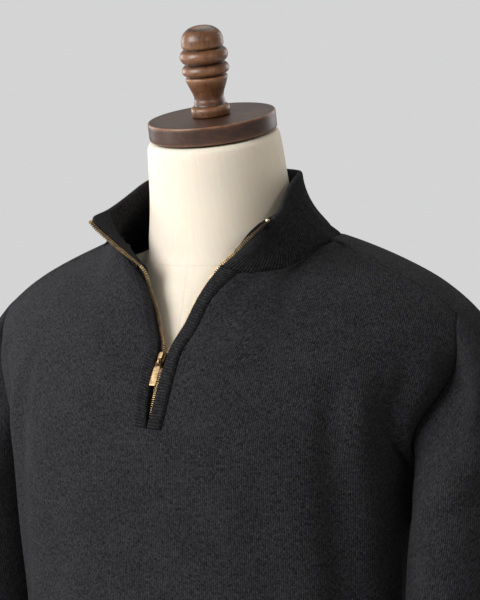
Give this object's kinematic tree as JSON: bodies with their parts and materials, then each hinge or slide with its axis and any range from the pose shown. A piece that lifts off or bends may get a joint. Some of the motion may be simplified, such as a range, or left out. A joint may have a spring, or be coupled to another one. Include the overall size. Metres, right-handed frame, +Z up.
{
  "type": "quarter zip sweater on a dress form",
  "caption": "Long sleeve quarter zip knit sweater with ribbed stand collar, cuffs and hem, worn by a limbless linen dress form with wooden neck cap, finial, pole and round base.",
  "frame": {"origin": "centre of the underside of the round base, on the floor", "axes": "+Z up; the wearer faces -Y; the wearer's left is +X"},
  "size_m": [0.591, 0.356, 1.1045],
  "materials": {
    "charcoal_knit": "soft heathered jersey knit, matte",
    "charcoal_rib": "1x1 rib knit, matte",
    "black_tape": "woven tape, matte",
    "antique_brass": "antiqued, satin",
    "cream_linen": "taut woven linen cover, matte",
    "dark_walnut": "stained and varnished, satin"
  },
  "bodies": {
    "sweater_on_form": {"collar": "charcoal_rib", "cuff_left": "charcoal_rib", "cuff_right": "charcoal_rib", "facing_left": "charcoal_rib", "facing_right": "charcoal_rib", "finial": "dark_walnut", "form_torso": "cream_linen", "hem_rib_back": "charcoal_rib", "hem_rib_front": "charcoal_rib", "neck_cap": "dark_walnut", "placket_left": "charcoal_rib", "placket_right": "charcoal_rib", "sleeve_left": "charcoal_knit", "sleeve_right": "charcoal_knit", "stand_base": "dark_walnut", "stand_pole": "dark_walnut", "sweater_back": "charcoal_knit", "sweater_front": "charcoal_knit", "zip_slider": "antique_brass", "zip_tape_left": "black_tape", "zip_tape_right": "black_tape"},
    "pull": {"zip_pull": "antique_brass"}
  },
  "joints": [
    {"name": "pull_hinge", "type": "hinge", "parent": "sweater_on_form", "child": "pull", "pos_m": [0, -0.13238, 0.79424], "axis": [-1, 0, 0], "range_deg": [0, 150]}
  ]
}
